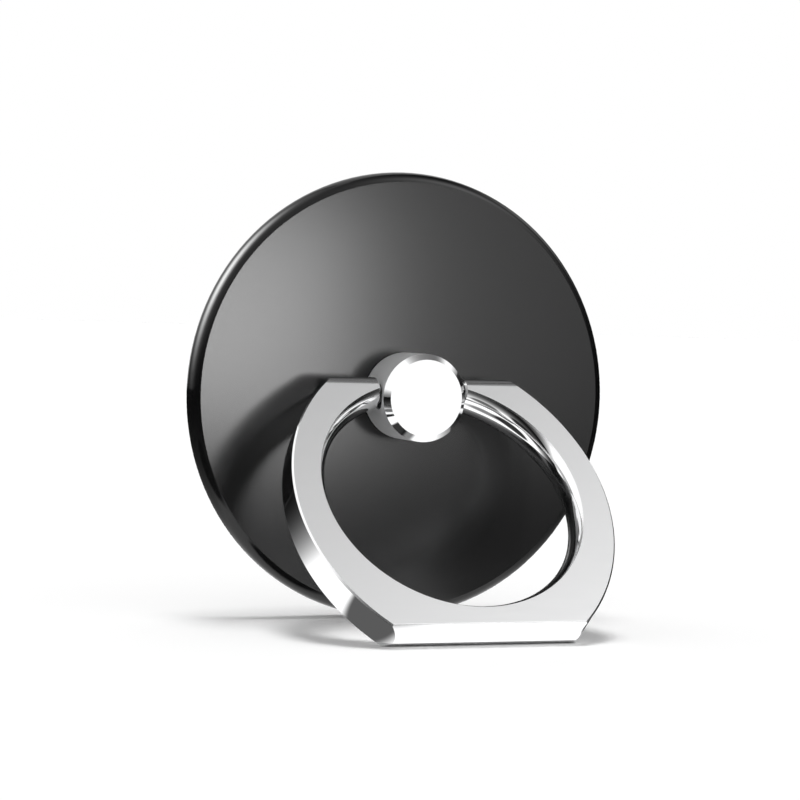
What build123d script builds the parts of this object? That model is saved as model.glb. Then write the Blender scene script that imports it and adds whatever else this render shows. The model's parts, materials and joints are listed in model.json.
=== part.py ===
from build123d import *
import math
import os

# Ring holder for a phone: a round stick-on plate, a knob that swivels on it and a finger ring
# hinged to the knob. Millimetres. The swivel axis is the Y axis and the origin is the middle of
# the adhesive face; the visible front looks along -Y. The ring stands open as a foot, so plate
# edge and ring foot touch the same level surface below.

# Plate
PLATE_D = 36.0
PLATE_T = 2.0
RIM_ROUND = 0.8          # how far the full-round rim reaches out past the flat face
WEB_T = 0.65             # metal left in front of the middle pocket
POCKET_D = 8.6
BACK_RECESS_D = 30.0

# Back layers
INSERT_T = 0.5
INSERT_HOLE_D = 9.4
PAD_D = 33.0
PAD_T = 0.8

# Knob
KNOB_D = 7.0
KNOB_H = 4.7             # from the plate's face to the knob's flat front
KNOB_BEVEL = 0.45
KNOB_LIFT = 0.12         # the skirt runs this far off the plate
STEM_D = 3.2
HINGE_H = 2.92           # hinge axis above the plate's face

# Fasteners and washers
GLIDE_D = 5.8
GLIDE_T = 0.3
SPRING_OD = 7.2
SPRING_T = 0.15
SPRING_BOW = 0.17        # how far the spring washer is bowed, without its own thickness
CLAMP_WASHER_OD = 6.8
CLAMP_WASHER_T = 0.3
SCREW_D = 2.0
SCREW_HEAD_D = 4.2
SCREW_HEAD_T = 0.5
SCREW_GRIP = 2.3         # thread engaged in the stem
DRIVE_WIDTH = 0.5
DRIVE_LENGTH = 2.0
DRIVE_DEPTH = 0.28

# Finger ring, measured from the hinge axis towards its foot
RING_T = 2.9
FINGER_HOLE_D = 21.4     # at the faces of the ring
FINGER_HOLE_DROP = 10.27
COMFORT = 0.6            # how far the inner wall swells into the hole at mid thickness
SIDE_R = 15.65           # radius of each outer side
SIDE_SETOVER = 2.6       # each side's centre lies this far past the middle
SIDE_DROP = 10.94
FOOT_DROP = 22.4
SHOULDER_RISE = 1.03     # back corner of the shoulders above the hinge axis
CROWN = 0.5              # swell of the foot and shoulders across the thickness
SHOULDER_ROUND = 1.4
FOOT_ROUND = 0.12
FACE_BEVEL = 0.13
BACK_BEVEL = 0.12
STUB_D = 1.2
STUB_L = 1.5

# Hinge sleeve
SLEEVE_D = 2.0

# Clearances
STEM_CLEARANCE = 0.05    # radial, stem in plate and washers
STUB_CLEARANCE = 0.03    # radial, stub in sleeve
THREAD_CLEARANCE = 0.02
SLEEVE_CLEARANCE = 0.01
LAYER_CLEARANCE = 0.1    # radial, insert in its recess
STACK_CLEARANCE = 0.03   # between layers that slide on each other
ARM_CLEARANCE = 0.15     # arm end to knob side
EDGE_BREAK = 0.15

# Levels along the swivel axis
PLATE_BACK = -PAD_T
FACE = PLATE_BACK - PLATE_T
POCKET_FLOOR = FACE + WEB_T
KNOB_TOP = FACE - KNOB_H
HINGE = FACE - HINGE_H
SPRING_BACK = POCKET_FLOOR + 2 * STACK_CLEARANCE + SPRING_T + SPRING_BOW
CLAMP_FRONT = SPRING_BACK + STACK_CLEARANCE
HEAD_FRONT = CLAMP_FRONT + CLAMP_WASHER_T

PLATE_R = PLATE_D / 2
HALF_T = RING_T / 2
ARM_END = KNOB_D / 2 + ARM_CLEARANCE
STEM_HOLE_R = STEM_D / 2 + STEM_CLEARANCE

# The ring leans out until the back edge of its foot is level with the bottom of the plate.
FOOT_REACH = math.hypot(FOOT_DROP, HALF_T)
STAND_ANGLE = math.degrees(math.atan2(HALF_T, FOOT_DROP) + math.acos(PLATE_R / FOOT_REACH))


def turned(*points):
    """Solid of revolution about the swivel axis from (radius, y) points."""
    return revolve(make_face(Polyline(*points, close=True)), Axis.Y)


def washer(inner_r, outer_r, front, back):
    return turned((inner_r, front), (outer_r, front), (outer_r, back), (inner_r, back))


def base_plate():
    """Round plate with a full-round rim, a stepped pocket behind and a hole for the stem."""
    face_r = PLATE_R - RIM_ROUND
    recess_floor = PLATE_BACK - INSERT_T
    rim = ThreePointArc((face_r, FACE), (PLATE_R, FACE + PLATE_T / 2), (face_r, PLATE_BACK))
    inside = Polyline(
        (face_r, PLATE_BACK),
        (BACK_RECESS_D / 2, PLATE_BACK),
        (BACK_RECESS_D / 2, recess_floor),
        (POCKET_D / 2, recess_floor),
        (POCKET_D / 2, POCKET_FLOOR),
        (STEM_HOLE_R, POCKET_FLOOR),
        (STEM_HOLE_R, FACE),
        (face_r, FACE),
    )
    return revolve(make_face(rim + inside), Axis.Y)


def steel_insert():
    """Flat steel ring let into the back of the plate, for magnetic car mounts."""
    outer = BACK_RECESS_D / 2 - LAYER_CLEARANCE
    return washer(INSERT_HOLE_D / 2, outer, PLATE_BACK - INSERT_T, PLATE_BACK)


def adhesive_pad():
    """Foam tape that covers the insert and the screw."""
    return turned((0, PLATE_BACK), (PAD_D / 2, PLATE_BACK), (PAD_D / 2, 0), (0, 0))


def glide_washer():
    """Nylon washer under the knob, in the knob's own recess."""
    back = FACE - STACK_CLEARANCE
    return washer(STEM_HOLE_R, GLIDE_D / 2, back - GLIDE_T, back)


def knob():
    """Round knob with a bevelled front, a recess for the glide washer, a stem that passes
    through the plate, a tapped hole for the screw and a cross hole for the hinge sleeve."""
    radius = KNOB_D / 2
    stem_r = STEM_D / 2
    skirt = FACE - KNOB_LIFT
    recess_r = GLIDE_D / 2 + STEM_CLEARANCE
    recess_floor = FACE - 2 * STACK_CLEARANCE - GLIDE_T
    tap_r = SCREW_D / 2 + THREAD_CLEARANCE
    tap_end = HEAD_FRONT - CLAMP_WASHER_T - SCREW_GRIP - THREAD_CLEARANCE
    body = turned(
        (0, KNOB_TOP),
        (radius - KNOB_BEVEL, KNOB_TOP),
        (radius, KNOB_TOP + KNOB_BEVEL),
        (radius, skirt),
        (recess_r, skirt),
        (recess_r, recess_floor),
        (stem_r, recess_floor),
        (stem_r, CLAMP_FRONT),
        (tap_r, CLAMP_FRONT),
        (tap_r, tap_end),
        (0, tap_end),
    )
    cross_hole = Cylinder(SLEEVE_D / 2 + SLEEVE_CLEARANCE, KNOB_D, rotation=(0, 90, 0))
    return body - Pos(0, HINGE, 0) * cross_hole


def hinge_sleeve():
    """Nylon tube across the knob that grips the ring's two stubs."""
    sleeve_r = SLEEVE_D / 2
    length = 2 * (math.sqrt((KNOB_D / 2) ** 2 - sleeve_r**2) - EDGE_BREAK)
    tube = Cylinder(sleeve_r, length) - Cylinder(STUB_D / 2 + STUB_CLEARANCE, length)
    return Pos(0, HINGE, 0) * Rot(0, 90, 0) * tube


def spring_washer():
    """Bowed steel washer: a ring cut from a strip that is curved about the X axis."""
    outer = SPRING_OD / 2
    low = POCKET_FLOOR + STACK_CLEARANCE
    high = low + SPRING_BOW
    front = ThreePointArc((low, -outer), (high, 0), (low, outer))
    back = ThreePointArc((low + SPRING_T, outer), (high + SPRING_T, 0), (low + SPRING_T, -outer))
    ends = Line((low, outer), (low + SPRING_T, outer)) + Line((low + SPRING_T, -outer), (low, -outer))
    strip = extrude(Plane.YZ * make_face(front + back + ends), outer, both=True)
    return strip & washer(STEM_HOLE_R, outer, low - SPRING_T, high + 2 * SPRING_T)


def clamp_washer():
    """Flat steel washer held against the end of the stem by the screw."""
    inner = SCREW_D / 2 + STEM_CLEARANCE
    return washer(inner, CLAMP_WASHER_OD / 2, CLAMP_FRONT, HEAD_FRONT)


def retaining_screw():
    """Low-head screw with a crosswise drive, run into the stem from behind."""
    tip = HEAD_FRONT - CLAMP_WASHER_T - SCREW_GRIP
    head_back = HEAD_FRONT + SCREW_HEAD_T
    shank_r = SCREW_D / 2
    screw = turned(
        (0, tip),
        (shank_r - EDGE_BREAK, tip),
        (shank_r, tip + EDGE_BREAK),
        (shank_r, HEAD_FRONT),
        (SCREW_HEAD_D / 2, HEAD_FRONT),
        (SCREW_HEAD_D / 2, head_back - EDGE_BREAK),
        (SCREW_HEAD_D / 2 - EDGE_BREAK, head_back),
        (0, head_back),
    )
    slot = Box(DRIVE_LENGTH, 2 * DRIVE_DEPTH, DRIVE_WIDTH)
    cross = slot + Rot(0, 90, 0) * slot
    return screw - Pos(0, head_back, 0) * cross


def ring_sides():
    """Slab between two outer side arcs, bevelled all round its front and back."""
    right = Pos(-SIDE_SETOVER, -SIDE_DROP) * Circle(SIDE_R)
    left = Pos(SIDE_SETOVER, -SIDE_DROP) * Circle(SIDE_R)
    slab = extrude(Plane.XZ * (right & left), HALF_T, both=True)
    slab = chamfer(slab.edges().filter_by_position(Axis.Y, -HALF_T, -HALF_T), FACE_BEVEL)
    return chamfer(slab.edges().filter_by_position(Axis.Y, HALF_T, HALF_T), BACK_BEVEL)


def crowned_end(level, up, front_round):
    """One end of the ring's side view: a rounded front corner, then a crown to the back corner."""
    crown_r = (HALF_T**2 + CROWN**2) / (2 * CROWN)
    middle = Vector(0, level + up * (CROWN - crown_r))
    reach = HALF_T - front_round
    rise = math.sqrt((crown_r - front_round) ** 2 - reach**2)
    corner = middle + Vector(-reach, up * rise)
    outwards = (corner - middle).normalized()
    halfway = (outwards + Vector(-1, 0)).normalized()
    start = corner + Vector(-front_round, 0)
    crest = middle + outwards * crown_r
    rounding = ThreePointArc(start, corner + halfway * front_round, crest)
    crown = ThreePointArc(crest, (0, level + up * CROWN), (HALF_T, level))
    return Wire([rounding, crown])


def ring_profile():
    """Side view of the ring: flat faces, and a crowned foot and shoulders."""
    top = crowned_end(SHOULDER_RISE, 1, SHOULDER_ROUND)
    foot = crowned_end(-FOOT_DROP, -1, FOOT_ROUND)
    faces = [Line(top @ 0, foot @ 0), Line(top @ 1, foot @ 1)]
    side = make_face(top.edges() + foot.edges() + faces)
    return extrude(Plane.YZ * side, SIDE_R, both=True)


def finger_hole():
    """Cutter for the hole: its wall swells inwards between the two faces."""
    radius = FINGER_HOLE_D / 2
    over = HALF_T + CROWN
    wall = ThreePointArc((radius, -HALF_T), (radius - COMFORT, 0), (radius, HALF_T))
    rest = Polyline((radius, HALF_T), (radius, over), (0, over), (0, -over), (radius, -over),
                    (radius, -HALF_T))
    return Pos(0, 0, -FINGER_HOLE_DROP) * revolve(make_face(wall + rest), Axis.Y)


def finger_ring():
    """One casting: crowned ring, open at the knob, with a hinge stub on each arm end."""
    ring = ring_sides() & ring_profile()
    ring -= finger_hole()
    ring -= Box(2 * ARM_END, 2 * RING_T, FINGER_HOLE_D / 2)
    ends = ring.edges().filter_by_position(Axis.X, ARM_END, ARM_END)
    ends += ring.edges().filter_by_position(Axis.X, -ARM_END, -ARM_END)
    ring = chamfer(ends, EDGE_BREAK)
    stub = turned(
        (0, -STUB_L),
        (STUB_D / 2 - EDGE_BREAK, -STUB_L),
        (STUB_D / 2, -STUB_L + EDGE_BREAK),
        (STUB_D / 2, STUB_D),
        (0, STUB_D),
    )
    ring += Pos(ARM_END, 0, 0) * Rot(0, 0, -90) * stub
    ring += Pos(-ARM_END, 0, 0) * Rot(0, 0, 90) * stub
    return Pos(0, HINGE, 0) * Rot(-STAND_ANGLE, 0, 0) * ring


PIECES = {
    "base_plate": base_plate,
    "steel_insert": steel_insert,
    "adhesive_pad": adhesive_pad,
    "spring_washer": spring_washer,
    "glide_washer": glide_washer,
    "knob": knob,
    "hinge_sleeve": hinge_sleeve,
    "clamp_washer": clamp_washer,
    "retaining_screw": retaining_screw,
    "finger_ring": finger_ring,
}

os.makedirs("parts", exist_ok=True)
for name, build in PIECES.items():
    export_step(build(), f"parts/{name}.step")

print(f"hinge axis at y {HINGE:.3f}, stand angle {STAND_ANGLE:.3f} degrees")
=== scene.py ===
import json
import math

import bmesh
import bpy
from mathutils import Matrix, Quaternion, Vector


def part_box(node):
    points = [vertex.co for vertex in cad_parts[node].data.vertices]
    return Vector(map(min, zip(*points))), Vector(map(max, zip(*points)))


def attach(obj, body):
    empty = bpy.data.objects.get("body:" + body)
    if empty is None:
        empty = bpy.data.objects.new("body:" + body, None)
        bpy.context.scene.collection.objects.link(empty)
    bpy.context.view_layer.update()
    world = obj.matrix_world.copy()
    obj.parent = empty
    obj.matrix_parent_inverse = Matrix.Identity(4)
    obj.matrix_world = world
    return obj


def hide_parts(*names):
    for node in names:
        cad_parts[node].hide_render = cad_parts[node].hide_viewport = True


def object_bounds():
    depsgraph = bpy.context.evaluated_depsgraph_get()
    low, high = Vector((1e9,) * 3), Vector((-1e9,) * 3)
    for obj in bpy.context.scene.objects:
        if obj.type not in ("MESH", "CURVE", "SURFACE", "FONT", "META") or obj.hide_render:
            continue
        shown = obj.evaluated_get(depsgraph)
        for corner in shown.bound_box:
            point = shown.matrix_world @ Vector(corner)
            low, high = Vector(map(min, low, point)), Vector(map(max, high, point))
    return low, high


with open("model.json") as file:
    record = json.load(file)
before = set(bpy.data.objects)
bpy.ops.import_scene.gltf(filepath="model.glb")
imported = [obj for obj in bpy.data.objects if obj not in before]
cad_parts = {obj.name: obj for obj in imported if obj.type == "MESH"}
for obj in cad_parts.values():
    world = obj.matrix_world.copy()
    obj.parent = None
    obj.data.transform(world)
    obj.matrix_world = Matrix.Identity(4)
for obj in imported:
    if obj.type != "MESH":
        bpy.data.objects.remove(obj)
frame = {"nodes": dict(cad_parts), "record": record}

cad_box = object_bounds()
mm = 0.001

# The part's own places, in metres, as the frame has them.
PLATE_FACE_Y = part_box("base_plate")[0].y
GROUND_Z = cad_box[0].z
JOINTS = {joint["name"]: joint for joint in frame["record"]["behaviour"]["joints"]}
HINGE = Vector(JOINTS["ring_tilt"]["pos_m"])
STAND_ANGLE = math.radians(40.392)
RING_FACE_OUT = Vector((0, -math.cos(STAND_ANGLE), math.sin(STAND_ANGLE)))
RIM_STARTS = 17.25 * mm                        # from the plate's axis
KNOB_SIDE_ENDS = 7.04 * mm                     # in front of the back of the pad

# The finger ring, measured from the hinge axis towards its foot, as it lies before it is tilted.
RING_HALF_THICK = 1.45 * mm
HOLE_RADIUS = 10.7 * mm                        # at the two faces
HOLE_DROP = 10.27 * mm
COMFORT = 0.6 * mm                             # how far the wall of the hole swells inwards
SIDE_RADIUS = 15.65 * mm
SIDE_SETOVER = 2.6 * mm                        # each side's centre lies this far past the middle
SIDE_DROP = 10.94 * mm
FOOT_LEVEL = -22.4 * mm
SHOULDER_LEVEL = 1.03 * mm
CROWN = 0.5 * mm
SHOULDER_ROUND = 1.4 * mm
FOOT_ROUND = 0.12 * mm
FACE_BEVEL = 0.13 * mm
BACK_BEVEL = 0.12 * mm
ARM_END = 3.65 * mm
ARM_BREAK = 0.15 * mm
STUB_RADIUS = 0.6 * mm
STUB_LENGTH = 1.5 * mm
CREASE = 20                                    # degrees past which an edge isn't smoothed over

# Colours of the finishes.
CHROME = (0.87, 0.872, 0.876)
BLACK_COAT = (0.005, 0.005, 0.0052)
STEEL = (0.56, 0.56, 0.57)
FOAM = (0.035, 0.035, 0.037)                   # on the whole
FOAM_SKIN = (0.028, 0.028, 0.03)
FOAM_CELLS = (0.055, 0.055, 0.058)
NYLON = (0.02, 0.02, 0.02)

# Where the viewer stands.
VIEW_AZIMUTH = -22.35
VIEW_ELEVATION = 2.11
VIEW_DISTANCE = 0.218
VIEW_ROLL = math.radians(1.84)
VIEW_LENS = 121.6
PLATE_MIDDLE = Vector((0, PLATE_FACE_Y, 0))
FRAMING = Vector((-0.00032, -0.00035, 0))      # from the plate's middle, across and up the picture

# Light on the floor and the object: a fill from all round and a strip overhead.
FLOOR_LIGHT = 1.03                             # on the open floor, where 1 is white
FILL_LIGHT = 0.5                               # the fill's share of it
STRIP = (82, 94)                               # elevations of the strip's parts
STRIP_SPREAD = math.radians(18)

# What the gloss sees. A round light is its azimuth, elevation, strength and tightness.
WHITE = 1.2                                    # as bright as the chrome sees the softbox and the cards
TENT_RADIUS = 0.9
SHADED_SIDE = (105, 10)                        # azimuth and elevation where the lining is darkest
OPENING = (-178, 20)                           # and where it is open to the white room
SOFTBOX = (-100, 40, 22, 14)
SIDE_LIGHT = (106, 34, 1.3, 50)
SCRIM = (50, 42, 2.2, 19)

# Cards in front: left edge, lower edge, width, height and strength.
CARD_DISTANCE = 120 * mm
FRONT_SOFTBOX = (2 * mm, -10 * mm, 37 * mm, 30 * mm, 14)
FRONT_REFLECTOR = (39.2 * mm, -14 * mm, 45 * mm, 60 * mm, 1.35)

# The floor as the gloss sees it: a painted pool of light round the foot, on a card just above the floor.
POOL_HEIGHT = 0.3 * mm
POOL_MIDDLE = (-5 * mm, -12 * mm, GROUND_Z)
POOL_REACH = 20.8 * mm                         # where the pool is as bright as white paper
POOL_LIGHT = 1.3
POOL_REST = 0.004                              # what is left far away
POOL_FALL = 1.2

# Painted shadows on that pool: their middle in X and Y, where each starts to fade, where it ends
# and what it leaves of the light.
PAINTED_FLOOR_SHADOWS = (
    (-12 * mm, -20.2 * mm, 3.6 * mm, 4.9 * mm, 0.09),      # at the left end of the foot
    (-38 * mm, -24 * mm, 15 * mm, 20 * mm, 0.08),          # in front on the left
    (-9.5 * mm, -9 * mm, 4.5 * mm, 6.5 * mm, 0.03),        # under the ring on the left
    (14 * mm, -15 * mm, 3.5 * mm, 6.5 * mm, 0.04),         # under the ring on the right
    (-8 * mm, -29 * mm, 4 * mm, 7.5 * mm, 0.12),           # in front of the foot
    (-2.5 * mm, -10 * mm, 2 * mm, 4.5 * mm, 0.2),          # under the finger hole
)


def towards(azimuth, elevation):
    """The direction at these angles: azimuth from the front towards +X, elevation above the horizon."""
    a, e = math.radians(azimuth), math.radians(elevation)
    return Vector((math.sin(a) * math.cos(e), -math.cos(a) * math.cos(e), math.sin(e)))


def make_camera():
    away = towards(VIEW_AZIMUTH, VIEW_ELEVATION)
    turn = away.to_track_quat("Z", "Y") @ Quaternion((0, 0, 1), VIEW_ROLL)
    camera = bpy.data.objects.new("camera", bpy.data.cameras.new("camera"))
    camera.data.lens = VIEW_LENS
    camera.data.clip_start = 0.01
    camera.location = PLATE_MIDDLE + away * VIEW_DISTANCE + turn @ FRAMING
    camera.rotation_mode = "QUATERNION"
    camera.rotation_quaternion = turn
    bpy.context.scene.collection.objects.link(camera)
    bpy.context.scene.camera = camera


class Nodes:
    """Adds nodes to one material or world and joins them up."""

    def __init__(self, owner):
        owner.use_nodes = True
        self.owner = owner
        self.tree = owner.node_tree

    def add(self, kind, inputs=(), **settings):
        node = self.tree.nodes.new(kind)
        for key, value in settings.items():
            setattr(node, key, value)
        for key, value in dict(inputs).items():
            if isinstance(value, bpy.types.NodeSocket):
                self.tree.links.new(value, node.inputs[key])
            else:
                node.inputs[key].default_value = value
        return node

    def math(self, operation, a, b=0.0):
        return self.add("ShaderNodeMath", {0: a, 1: b}, operation=operation).outputs[0]

    def vector(self, operation, a, b=(0, 0, 0)):
        return self.add("ShaderNodeVectorMath", {0: a, 1: b}, operation=operation).outputs

    def dot(self, a, b):
        return self.vector("DOT_PRODUCT", a, b)["Value"]

    def place(self):
        return self.add("ShaderNodeTexCoord").outputs["Object"]

    def radius(self):
        """How far a place is from the plate's axis."""
        across = self.vector("MULTIPLY", self.place(), (1, 0, 1))[0]
        return self.vector("LENGTH", across)["Value"]

    def ramp(self, value, low, high, to_low, to_high, smooth=False):
        span = {"Value": value, "From Min": low, "From Max": high, "To Min": to_low, "To Max": to_high}
        kind = "SMOOTHSTEP" if smooth else "LINEAR"
        return self.add("ShaderNodeMapRange", span, interpolation_type=kind).outputs[0]

    def noise(self, vector, scale, detail):
        look = {"Vector": vector, "Scale": scale, "Detail": detail}
        return self.add("ShaderNodeTexNoise", look).outputs[0]

    def cells(self, vector, scale):
        return self.add("ShaderNodeTexVoronoi", {"Vector": vector, "Scale": scale}).outputs["Distance"]

    def stretched(self, vector, scale):
        return self.add("ShaderNodeMapping", {"Vector": vector, "Scale": scale}).outputs[0]

    def mix(self, factor, a, b):
        return self.add("ShaderNodeMix", {0: factor, 2: a, 3: b}).outputs[0]

    def mix_colour(self, factor, a, b):
        return self.add("ShaderNodeMix", {0: factor, 6: (*a, 1), 7: (*b, 1)}, data_type="RGBA").outputs[2]

    def bump(self, height, distance, strength=1.0, under=None):
        inputs = {"Height": height, "Distance": distance, "Strength": strength}
        if under is not None:
            inputs["Normal"] = under
        return self.add("ShaderNodeBump", inputs).outputs[0]

    def glow(self, way, azimuth, elevation, strength, tightness):
        """A round soft light in one direction."""
        off = self.math("SUBTRACT", self.dot(way, towards(azimuth, elevation)), 1)
        fall = self.math("EXPONENT", self.math("MULTIPLY", off, tightness))
        return self.math("MULTIPLY", fall, strength)


class Finish(Nodes):
    """One surface material, made from its shader's own values and what its nodes feed into it."""

    def __init__(self, name, colour, roughness, metallic=0.0, ior=1.5):
        super().__init__(bpy.data.materials.new(name))
        self.shader = self.tree.nodes["Principled BSDF"]
        self.shader.inputs["Base Color"].default_value = (*colour, 1)
        self.shader.inputs["Roughness"].default_value = roughness
        self.shader.inputs["Metallic"].default_value = metallic
        self.shader.inputs["IOR"].default_value = ior

    def feed(self, name, value):
        self.tree.links.new(value, self.shader.inputs[name])

    def fed(self, name):
        return self.shader.inputs[name].links[0].from_socket


def chrome(name):
    """Bright plating with a faint waviness from the polishing."""
    finish = Finish(name, CHROME, 0.035, metallic=1.0)
    place = finish.place()
    finish.feed("Normal", finish.bump(finish.noise(place, 420, 2), 0.9e-6))
    finish.feed("Roughness", finish.ramp(finish.noise(place, 1500, 4), 0.35, 0.7, 0.025, 0.05))
    return finish


def knob_chrome():
    """Bright front and bevel, and a fine blasted satin round the side."""
    finish = chrome("knob_chrome")
    place = finish.place()
    side = finish.math("LESS_THAN", finish.dot(place, (0, -1, 0)), KNOB_SIDE_ENDS)
    grain = finish.noise(place, 6500, 3)
    blasted = finish.ramp(grain, 0.3, 0.7, 0.6, 0.72)
    finish.feed("Roughness", finish.mix(side, finish.fed("Roughness"), blasted))
    finish.feed("Normal", finish.bump(grain, 9e-6, side, finish.fed("Normal")))
    return finish.owner


def ring_chrome():
    """Bright plating on the walls, and a fine satin on the two flat faces and their bevels."""
    finish = chrome("ring_chrome")
    place = finish.place()
    height = finish.math("SUBTRACT", finish.dot(place, RING_FACE_OUT), HINGE.dot(RING_FACE_OUT))
    off_middle = finish.math("ABSOLUTE", height)
    flat = finish.math("GREATER_THAN", off_middle, RING_HALF_THICK - 0.003 * mm)
    bevel_start = RING_HALF_THICK - FACE_BEVEL
    edge = finish.ramp(off_middle, bevel_start, bevel_start + 0.2 * FACE_BEVEL, 0, 1)
    brushed = finish.noise(finish.stretched(place, (300, 6000, 6000)), 1, 3)
    satin = finish.ramp(brushed, 0.3, 0.7, 0.30, 0.38)
    wall = finish.mix(edge, finish.fed("Roughness"), 0.2)
    finish.feed("Roughness", finish.mix(flat, wall, satin))
    return finish.owner


def plate_black():
    """Satin black face and back with a fine grain, and a glossy black rim."""
    finish = Finish("plate_black", BLACK_COAT, 0.19, ior=1.45)
    grain = finish.noise(finish.place(), 9000, 3)
    rim = finish.ramp(finish.radius(), RIM_STARTS, RIM_STARTS + 0.1 * mm, 0, 1)
    finish.feed("Roughness", finish.mix(rim, finish.ramp(grain, 0.3, 0.7, 0.195, 0.225), 0.07))
    finish.feed("Normal", finish.bump(grain, 0.5e-6, finish.math("SUBTRACT", 1, rim)))
    return finish.owner


def plain_steel():
    """Plain steel with the fine rings that turning and grinding leave."""
    finish = Finish("plain_steel", STEEL, 0.33, metallic=1.0)
    outwards = finish.add("ShaderNodeCombineXYZ", {0: finish.radius()}).outputs[0]
    rings = finish.noise(outwards, 14000, 3)
    patches = finish.ramp(finish.noise(finish.place(), 700, 4), 0.35, 0.7, 0, 0.1)
    finish.feed("Roughness", finish.math("ADD", finish.ramp(rings, 0.3, 0.7, 0.2, 0.34), patches))
    finish.feed("Normal", finish.bump(rings, 1.2e-6))
    return finish.owner


def foam():
    """Dark closed-cell foam: small cells of uneven size under a dull skin."""
    finish = Finish("foam_tape", FOAM, 0.8)
    place = finish.place()
    cells = finish.cells(place, 3800)
    uneven = finish.noise(place, 900, 4)
    open_cells = finish.ramp(finish.math("ADD", cells, uneven), 0.5, 1.3, 0, 1)
    finish.feed("Base Color", finish.mix_colour(open_cells, FOAM_SKIN, FOAM_CELLS))
    finish.feed("Roughness", finish.ramp(uneven, 0.3, 0.7, 0.62, 0.9))
    finish.feed("Normal", finish.bump(cells, 30e-6, 0.6))
    return finish.owner


def black_nylon():
    """Black moulded nylon with a faint matt grain."""
    finish = Finish("black_nylon", NYLON, 0.45)
    grain = finish.noise(finish.place(), 7000, 4)
    finish.feed("Roughness", finish.ramp(grain, 0.3, 0.7, 0.36, 0.55))
    finish.feed("Normal", finish.bump(grain, 3e-6))
    return finish.owner


def dress(material, *names):
    """Gives CAD pieces their material."""
    for name in names:
        mesh = frame["nodes"][name].data
        mesh.materials.clear()
        mesh.materials.append(material)


def new_piece(name, bm, material=None):
    mesh = bpy.data.meshes.new(name)
    bm.to_mesh(mesh)
    bm.free()
    if material is not None:
        mesh.materials.append(material)
    piece = bpy.data.objects.new(name, mesh)
    bpy.context.scene.collection.objects.link(piece)
    return piece


def arc(bm, start, centre, axis, angle, steps):
    """Sweeps a vertex round a centre and returns the last vertex of the arc."""
    swept = bmesh.ops.spin(bm, geom=[start], cent=centre, axis=axis, angle=angle, steps=steps)
    return swept["geom_last"][0]


def line(bm, start, end):
    """Draws a straight edge from a vertex to a place and returns the new vertex."""
    new = bmesh.ops.extrude_vert_indiv(bm, verts=[start])["verts"][0]
    new.co = end
    return new


def vertices(geometry):
    return [v for v in geometry if isinstance(v, bmesh.types.BMVert)]


def thicken(bm, way):
    """Fills a closed outline and extrudes it into a solid."""
    bmesh.ops.remove_doubles(bm, verts=bm.verts, dist=1e-7)
    outline = bmesh.ops.contextual_create(bm, geom=bm.edges[:])["faces"]
    copy = bmesh.ops.extrude_face_region(bm, geom=outline, use_keep_orig=True)["geom"]
    bmesh.ops.translate(bm, verts=vertices(copy), vec=way)
    bmesh.ops.recalc_face_normals(bm, faces=bm.faces)


def turn_round(bm, centre, axis, steps):
    """Turns an outline into a closed solid of revolution."""
    bmesh.ops.spin(
        bm, geom=bm.verts[:] + bm.edges[:], cent=centre, axis=axis,
        angle=math.tau, steps=steps, use_merge=True,
    )
    bmesh.ops.remove_doubles(bm, verts=bm.verts, dist=1e-7)
    bmesh.ops.recalc_face_normals(bm, faces=bm.faces)


def edges_on(bm, way, level):
    """The edges that lie in the plane at this level along a direction."""
    way = Vector(way)
    return [e for e in bm.edges if all(abs(v.co.dot(way) - level) < 1e-7 for v in e.verts)]


def bevel(bm, edges, offset):
    bmesh.ops.bevel(
        bm, geom=edges, offset=offset, offset_type="OFFSET", segments=1,
        profile=0.5, affect="EDGES", material=-1,
    )


def carve(piece, tool, operation):
    """Cuts a piece with another, or keeps or adds what the other holds, and drops the other."""
    step = piece.modifiers.new("carve", "BOOLEAN")
    step.operation = operation
    step.solver = "EXACT"
    step.object = tool
    carved = bpy.data.meshes.new_from_object(piece.evaluated_get(bpy.context.evaluated_depsgraph_get()))
    piece.modifiers.clear()
    piece.data = carved
    bpy.data.objects.remove(tool)


def smooth_curves(bm, flat_way):
    """Smooth shading, with creases where the surface turns and round the flat faces."""
    flat_way = Vector(flat_way)
    for face in bm.faces:
        face.smooth = True
    for edge in bm.edges:
        flat = [abs(face.normal.dot(flat_way)) > 0.99999 for face in edge.link_faces]
        edge.smooth = edge.calc_face_angle(0) < math.radians(CREASE) and flat[0] == flat[1]


def ring_sides():
    """Slab between two outer side arcs, bevelled all round its front and back."""
    bm = bmesh.new()
    rise = math.sqrt(SIDE_RADIUS ** 2 - SIDE_SETOVER ** 2)
    half_turn = math.atan2(rise, SIDE_SETOVER)
    start = bm.verts.new((0, -RING_HALF_THICK, -SIDE_DROP - rise))
    top = arc(bm, start, (-SIDE_SETOVER, 0, -SIDE_DROP), (0, -1, 0), 2 * half_turn, 240)
    arc(bm, top, (SIDE_SETOVER, 0, -SIDE_DROP), (0, -1, 0), 2 * half_turn, 240)
    thicken(bm, (0, 2 * RING_HALF_THICK, 0))
    bevel(bm, edges_on(bm, (0, -1, 0), RING_HALF_THICK), FACE_BEVEL)
    bevel(bm, edges_on(bm, (0, 1, 0), RING_HALF_THICK), BACK_BEVEL)
    return new_piece("ring_sides", bm)


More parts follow.
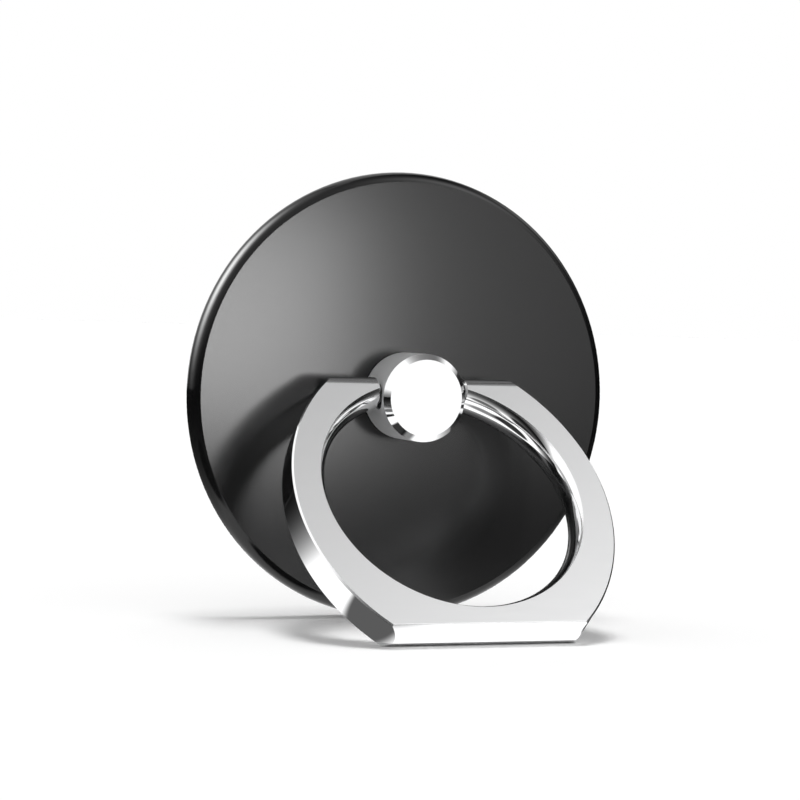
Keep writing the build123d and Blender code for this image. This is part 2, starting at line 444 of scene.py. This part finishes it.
def crowned_end(bm, level, up, front_round):
    """One end of the ring's side view: a rounded front corner, then a crown to the back corner."""
    swell = (RING_HALF_THICK ** 2 + CROWN ** 2) / (2 * CROWN)
    middle = level + up * (CROWN - swell)
    reach = RING_HALF_THICK - front_round
    lift = math.sqrt((swell - front_round) ** 2 - reach ** 2)
    corner = (-SIDE_RADIUS, -reach, middle + up * lift)
    turn = math.atan2(lift, reach)
    rest = math.pi - turn - math.acos(RING_HALF_THICK / swell)
    start = bm.verts.new((-SIDE_RADIUS, -RING_HALF_THICK, corner[2]))
    crest = arc(bm, start, corner, (-up, 0, 0), turn, 14)
    return start, arc(bm, crest, (-SIDE_RADIUS, 0, middle), (-up, 0, 0), rest, 20)


def ring_profile():
    """Side view of the ring: flat faces, crowned foot and shoulders, rounded towards the front."""
    bm = bmesh.new()
    top_front, top_back = crowned_end(bm, SHOULDER_LEVEL, 1, SHOULDER_ROUND)
    foot_front, foot_back = crowned_end(bm, FOOT_LEVEL, -1, FOOT_ROUND)
    bmesh.ops.contextual_create(bm, geom=[top_front, foot_front])
    bmesh.ops.contextual_create(bm, geom=[top_back, foot_back])
    thicken(bm, (2 * SIDE_RADIUS, 0, 0))
    return new_piece("ring_profile", bm)


def finger_hole():
    """Cutter for the hole: its wall swells inwards between the two faces."""
    bm = bmesh.new()
    swell = (RING_HALF_THICK ** 2 + COMFORT ** 2) / (2 * COMFORT)
    reach = 2 * RING_HALF_THICK
    start = bm.verts.new((0, -reach, -HOLE_DROP))
    rim = line(bm, start, (HOLE_RADIUS, -reach, -HOLE_DROP))
    rim = line(bm, rim, (HOLE_RADIUS, -RING_HALF_THICK, -HOLE_DROP))
    centre = (HOLE_RADIUS - COMFORT + swell, 0, -HOLE_DROP)
    rim = arc(bm, rim, centre, (0, 0, -1), 2 * math.asin(RING_HALF_THICK / swell), 28)
    rim = line(bm, rim, (HOLE_RADIUS, reach, -HOLE_DROP))
    line(bm, rim, (0, reach, -HOLE_DROP))
    turn_round(bm, (0, 0, -HOLE_DROP), (0, 1, 0), 288)
    return new_piece("finger_hole", bm)


def ring_gap():
    """Cutter for the opening at the knob."""
    bm = bmesh.new()
    bmesh.ops.create_cube(bm, size=1)
    bmesh.ops.scale(bm, verts=bm.verts, vec=(2 * ARM_END, 4 * RING_HALF_THICK, HOLE_RADIUS))
    return new_piece("ring_gap", bm)


def hinge_stub(side):
    """Short pin on one arm end, with a broken edge."""
    bm = bmesh.new()
    tip = ARM_END - STUB_LENGTH
    root = ARM_END + 2 * STUB_RADIUS
    start = bm.verts.new((side * tip, 0, 0))
    edge = line(bm, start, (side * tip, 0, STUB_RADIUS - ARM_BREAK))
    edge = line(bm, edge, (side * (tip + ARM_BREAK), 0, STUB_RADIUS))
    edge = line(bm, edge, (side * root, 0, STUB_RADIUS))
    line(bm, edge, (side * root, 0, 0))
    turn_round(bm, (0, 0, 0), (1, 0, 0), 48)
    return new_piece("hinge_stub", bm)


def make_finger_ring(material):
    """One casting: crowned ring, open at the knob, with a hinge stub on each arm end."""
    ring = ring_sides()
    carve(ring, ring_profile(), "INTERSECT")
    carve(ring, finger_hole(), "DIFFERENCE")
    carve(ring, ring_gap(), "DIFFERENCE")
    bm = bmesh.new()
    bm.from_mesh(ring.data)
    bevel(bm, edges_on(bm, (1, 0, 0), ARM_END) + edges_on(bm, (-1, 0, 0), ARM_END), ARM_BREAK)
    bm.to_mesh(ring.data)
    bm.free()
    carve(ring, hinge_stub(1), "UNION")
    carve(ring, hinge_stub(-1), "UNION")
    bm = bmesh.new()
    bm.from_mesh(ring.data)
    smooth_curves(bm, (0, 1, 0))
    bmesh.ops.rotate(bm, verts=bm.verts, cent=(0, 0, 0), matrix=Matrix.Rotation(-STAND_ANGLE, 3, "X"))
    bmesh.ops.translate(bm, verts=bm.verts, vec=HINGE)
    bm.to_mesh(ring.data)
    bm.free()
    ring.name = ring.data.name = "chromed_finger_ring"
    ring.data.materials.clear()
    ring.data.materials.append(material)
    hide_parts("finger_ring")
    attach(ring, "ring")


def white_surroundings():
    """White where it is seen or mirrored, and a soft fill for what it lights."""
    world = bpy.data.worlds.new("world")
    bpy.context.scene.world = world
    nodes = Nodes(world)
    path = nodes.add("ShaderNodeLightPath").outputs
    seen = nodes.math("MAXIMUM", path["Is Camera Ray"], path["Is Glossy Ray"])
    seen = nodes.math("MAXIMUM", seen, path["Is Transmission Ray"])
    background = nodes.tree.nodes["Background"]
    background.inputs["Color"].default_value = (1, 1, 1, 1)
    nodes.tree.links.new(nodes.ramp(seen, 0, 1, FILL_LIGHT, 1), background.inputs["Strength"])


def overhead_strip():
    """A soft strip overhead, from a little in front to a little behind, for the floor's shadows."""
    reach = sum(math.sin(math.radians(elevation)) for elevation in STRIP)
    for number, elevation in enumerate(STRIP):
        name = "overhead_strip_" + str(number)
        lamp = bpy.data.objects.new(name, bpy.data.lights.new(name, "SUN"))
        lamp.data.energy = math.pi * (FLOOR_LIGHT - FILL_LIGHT) / reach
        lamp.data.angle = STRIP_SPREAD
        lamp.rotation_mode = "QUATERNION"
        lamp.rotation_quaternion = towards(180, elevation).to_track_quat("Z", "Y")
        lamp.visible_glossy = False
        bpy.context.scene.collection.objects.link(lamp)


def make_floor():
    bpy.ops.mesh.primitive_plane_add(size=4, location=(0, 0, GROUND_Z))
    floor = bpy.context.object
    floor.name = "floor"
    floor.data.materials.append(Finish("floor", (1, 1, 1), 1.0, ior=1.0).owner)


class Lamp(Nodes):
    """The material of a lamp or card."""

    def __init__(self, name):
        super().__init__(bpy.data.materials.new(name))

    def shine(self, strength, see_through=False):
        """Gives off light; a see-through one adds its light to what is behind it."""
        light = self.add("ShaderNodeEmission", {"Strength": strength}).outputs[0]
        if see_through:
            clear = self.add("ShaderNodeBsdfTransparent").outputs[0]
            light = self.add("ShaderNodeAddShader", {0: light, 1: clear}).outputs[0]
        self.tree.links.new(light, self.tree.nodes["Material Output"].inputs[0])


def show_in_gloss(name, bm, lamp, plate_alone=False):
    """Sets up a lamp or card that shows only in the gloss.

    What the softbox and the cards give beyond white shows in the plate alone, which is black and
    mirrors little, so that the chrome keeps clean edges.
    """
    piece = new_piece(name, bm, lamp.owner)
    piece.visible_camera = False
    piece.visible_diffuse = False
    piece.visible_transmission = False
    piece.visible_shadow = False
    if plate_alone:
        receivers = bpy.data.collections.new(name + "_shows_in")
        receivers.objects.link(frame["nodes"]["base_plate"])
        piece.light_linking.receiver_collection = receivers


def front_card(name, left, foot, width, height, strength):
    """An upright card in front of the object, and a second one for what it gives beyond white."""
    bm = bmesh.new()
    start = bm.verts.new((left, -CARD_DISTANCE, foot))
    side = bmesh.ops.extrude_vert_indiv(bm, verts=[start])
    bmesh.ops.translate(bm, verts=side["verts"], vec=(width, 0, 0))
    face = bmesh.ops.extrude_edge_only(bm, edges=side["edges"])["geom"]
    bmesh.ops.translate(bm, verts=vertices(face), vec=(0, 0, height))
    power = bm.copy()
    bmesh.ops.translate(power, verts=power.verts, vec=(0, mm, 0))
    lamp = Lamp(name)
    lamp.shine(WHITE)
    show_in_gloss(name, bm, lamp)
    lamp = Lamp(name + "_power")
    lamp.shine(strength - WHITE, see_through=True)
    show_in_gloss(name + "_power", power, lamp, plate_alone=True)


def dome(radius, azimuths, elevations):
    """Part of a sphere round the object."""
    bm = bmesh.new()
    low, high = elevations
    left, right = azimuths
    bm.verts.new(towards(0, low) * radius)
    bmesh.ops.spin(
        bm, geom=bm.verts[:], cent=(0, 0, 0), axis=(-1, 0, 0), angle=math.radians(high - low), steps=30,
    )
    bmesh.ops.rotate(bm, verts=bm.verts, cent=(0, 0, 0), matrix=Matrix.Rotation(math.radians(left), 3, "Z"))
    bmesh.ops.spin(
        bm, geom=bm.verts[:] + bm.edges[:], cent=(0, 0, 0), axis=(0, 0, 1),
        angle=math.radians(right - left), steps=60,
    )
    return bm


def tent_lining():
    """A dark studio lining round the front and sides: a softbox on its left, a scrim on its right."""
    lamp = Lamp("tent_lining")
    way = lamp.vector("NORMALIZE", lamp.place())[0]
    # The cloth: light on the left, dark on the right and along the floor.
    light = lamp.ramp(lamp.dot(way, towards(*SHADED_SIDE)), -0.3, 0.7, 0.6, 0.03, smooth=True)
    height = lamp.dot(way, (0, 0, 1))
    light = lamp.math("MULTIPLY", light, lamp.ramp(height, 0, 0.42, 0.05, 1, smooth=True))
    # The lamps on it, and where it opens behind to the white room. The scrim alone may pass white.
    light = lamp.math("ADD", light, lamp.glow(way, *SOFTBOX))
    light = lamp.math("ADD", light, lamp.glow(way, *SIDE_LIGHT))
    opening = lamp.ramp(lamp.dot(way, towards(*OPENING)), 0.8, 0.93, 0, 1.1, smooth=True)
    light = lamp.math("MINIMUM", lamp.math("MAXIMUM", light, opening), WHITE)
    lamp.shine(lamp.math("ADD", light, lamp.glow(way, *SCRIM)))
    show_in_gloss("tent_lining", dome(TENT_RADIUS, (-178, 138), (-1.3, 86)), lamp)


def softbox_power():
    """What the softbox gives beyond white, for the line of light along the plate's rim."""
    lamp = Lamp("softbox_power")
    way = lamp.vector("NORMALIZE", lamp.place())[0]
    beyond = lamp.math("SUBTRACT", lamp.glow(way, *SOFTBOX), WHITE)
    lamp.shine(lamp.math("MAXIMUM", beyond, 0), see_through=True)
    show_in_gloss("softbox_power", dome(0.95 * TENT_RADIUS, (-160, -40), (5, 80)), lamp, plate_alone=True)


def painted_light_pool():
    """The floor as the gloss sees it: a painted pool of light round the foot that dies away with distance,
    with painted shadows under and round the ring.
    """
    bm = bmesh.new()
    bmesh.ops.create_circle(bm, cap_ends=True, segments=64, radius=TENT_RADIUS)
    bmesh.ops.translate(bm, verts=bm.verts, vec=(0, 0, GROUND_Z + POOL_HEIGHT))
    lamp = Lamp("painted_light_pool")
    place = lamp.place()
    away = lamp.vector("SUBTRACT", place, POOL_MIDDLE)[0]
    light = lamp.math("POWER", lamp.math("DIVIDE", POOL_REACH ** 2, lamp.dot(away, away)), POOL_FALL)
    light = lamp.math("MINIMUM", lamp.math("ADD", light, POOL_REST), POOL_LIGHT)
    # Painted shadows in the pool, under and round the ring.
    for across, front, starts, ends, leaves in PAINTED_FLOOR_SHADOWS:
        gap = lamp.vector("DISTANCE", place, (across, front, GROUND_Z))["Value"]
        light = lamp.math("MULTIPLY", light, lamp.ramp(gap, starts, ends, leaves, 1, smooth=True))
    lamp.shine(light)
    show_in_gloss("painted_light_pool", bm, lamp)


make_camera()

dress(plate_black(), "base_plate")
dress(knob_chrome(), "knob")
make_finger_ring(ring_chrome())
dress(plain_steel(), "steel_insert", "spring_washer", "clamp_washer", "retaining_screw")
dress(foam(), "adhesive_pad")
dress(black_nylon(), "glide_washer", "hinge_sleeve")

white_surroundings()
overhead_strip()
make_floor()
tent_lining()
softbox_power()
front_card("front_softbox", *FRONT_SOFTBOX)
front_card("front_reflector", *FRONT_REFLECTOR)
painted_light_pool()
bpy.context.scene.view_settings.view_transform = "Standard"
